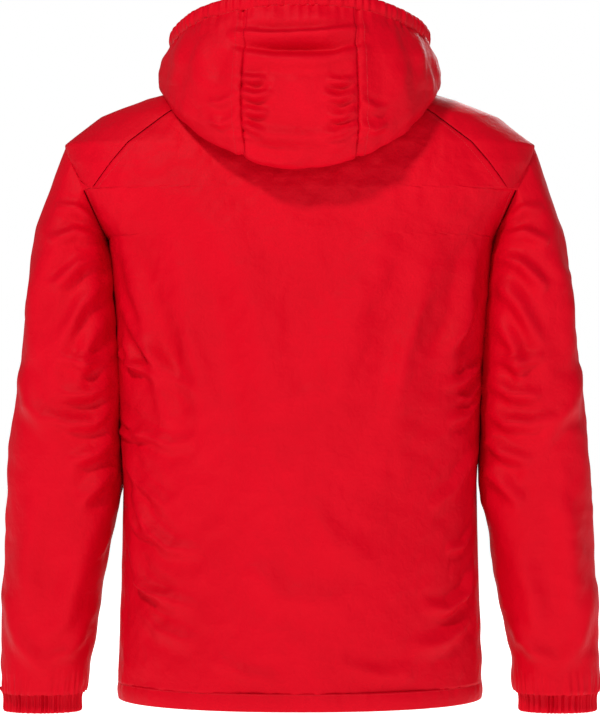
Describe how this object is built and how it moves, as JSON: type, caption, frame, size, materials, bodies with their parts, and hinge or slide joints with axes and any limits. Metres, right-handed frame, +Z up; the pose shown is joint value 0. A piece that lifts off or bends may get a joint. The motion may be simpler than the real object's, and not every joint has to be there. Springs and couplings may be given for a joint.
{
  "type": "hooded ski jacket",
  "caption": "Padded hip-length jacket with raglan sleeves, lowered hood with gathered edge, elastic cuffs, straight hem, full front zip and zipped hand pockets.",
  "frame": {"origin": "the hang loop at the centre of the back neck, where a coat hook holds the jacket", "axes": "+Z up, the front of the jacket faces -Y, the wearer's left is +X"},
  "size_m": [0.716, 0.3369, 0.8313],
  "materials": {
    "shell_cloth": "satin",
    "wadding": "matte",
    "lining": "satin",
    "elastic": "matte",
    "zip_tape": "matte",
    "zip_teeth": "satin",
    "zip_metal": "satin"
  },
  "bodies": {
    "torso": {"back_lining": "lining", "back_shell": "shell_cloth", "back_wadding": "wadding", "chin_guard": "shell_cloth", "collar_left": "shell_cloth", "collar_right": "shell_cloth", "front_lining_left": "lining", "front_lining_right": "lining", "front_shell_left": "shell_cloth", "front_shell_right": "shell_cloth", "front_wadding_left": "wadding", "front_wadding_right": "wadding", "front_zip_bottom_box": "zip_teeth", "front_zip_tape_left": "zip_tape", "front_zip_tape_right": "zip_tape", "front_zip_teeth_left": "zip_teeth", "front_zip_teeth_right": "zip_teeth", "front_zip_top_stops": "zip_teeth", "hang_loop": "zip_tape", "hem_casing": "shell_cloth", "neck_tape": "lining", "pocket_bag_left": "lining", "pocket_bag_right": "lining", "pocket_welts_left": "shell_cloth", "pocket_welts_right": "shell_cloth", "pocket_zip_tapes_left": "zip_tape", "pocket_zip_tapes_right": "zip_tape", "pocket_zip_teeth_left": "zip_teeth", "pocket_zip_teeth_right": "zip_teeth", "raglan_cap_left": "shell_cloth", "raglan_cap_right": "shell_cloth", "wind_flap": "shell_cloth"},
    "sleeve_left": {"cuff_elastic_left": "elastic", "cuff_left": "shell_cloth", "sleeve_lining_left": "lining", "sleeve_shell_left": "shell_cloth", "sleeve_wadding_left": "wadding"},
    "sleeve_right": {"cuff_elastic_right": "elastic", "cuff_right": "shell_cloth", "sleeve_lining_right": "lining", "sleeve_shell_right": "shell_cloth", "sleeve_wadding_right": "wadding"},
    "hood": {"hood_centre_panel": "shell_cloth", "hood_edge_casing": "shell_cloth", "hood_elastic": "elastic", "hood_lining": "lining", "hood_side_left": "shell_cloth", "hood_side_right": "shell_cloth"},
    "front_slider": {"front_zip_slider": "zip_metal"},
    "front_pull": {"front_zip_puller": "zip_metal"},
    "pocket_slider_left": {"pocket_zip_slider_left": "zip_metal"},
    "pocket_pull_left": {"pocket_zip_puller_left": "zip_metal"},
    "pocket_slider_right": {"pocket_zip_slider_right": "zip_metal"},
    "pocket_pull_right": {"pocket_zip_puller_right": "zip_metal"}
  },
  "joints": [
    {"name": "sleeve_left_lift", "type": "hinge", "parent": "torso", "child": "sleeve_left", "pos_m": [0.279, -0.06, -0.0725], "axis": [0, -1, 0], "range_deg": [0, 80]},
    {"name": "sleeve_right_lift", "type": "hinge", "parent": "torso", "child": "sleeve_right", "pos_m": [-0.279, -0.06, -0.0725], "axis": [0, 1, 0], "range_deg": [0, 80]},
    {"name": "hood_raise", "type": "hinge", "parent": "torso", "child": "hood", "pos_m": [0, -0.06, 0.006], "axis": [1, 0, 0], "range_deg": [0, 85]},
    {"name": "front_zip_run", "type": "slide", "parent": "torso", "child": "front_slider", "axis": [0, -0.057, -0.9984], "range_m": [0, 0.715]},
    {"name": "front_puller_swing", "type": "hinge", "parent": "front_slider", "child": "front_pull", "pos_m": [0, -0.16692, 0.02224], "axis": [-1, 0, 0], "range_deg": [0, 150]},
    {"name": "pocket_zip_run_left", "type": "slide", "parent": "torso", "child": "pocket_slider_left", "axis": [0.0639, 0.017, -0.9978], "range_m": [0, 0.145]},
    {"name": "pocket_puller_swing_left", "type": "hinge", "parent": "pocket_slider_left", "child": "pocket_pull_left", "pos_m": [0.17013, -0.15385, -0.48885], "axis": [-0.7674, -0.6384, -0.0601], "range_deg": [0, 150]},
    {"name": "pocket_zip_run_right", "type": "slide", "parent": "torso", "child": "pocket_slider_right", "axis": [-0.0639, 0.017, -0.9978], "range_m": [0, 0.145]},
    {"name": "pocket_puller_swing_right", "type": "hinge", "parent": "pocket_slider_right", "child": "pocket_pull_right", "pos_m": [-0.17013, -0.15385, -0.48885], "axis": [-0.7674, 0.6384, 0.0601], "range_deg": [0, 150]}
  ]
}
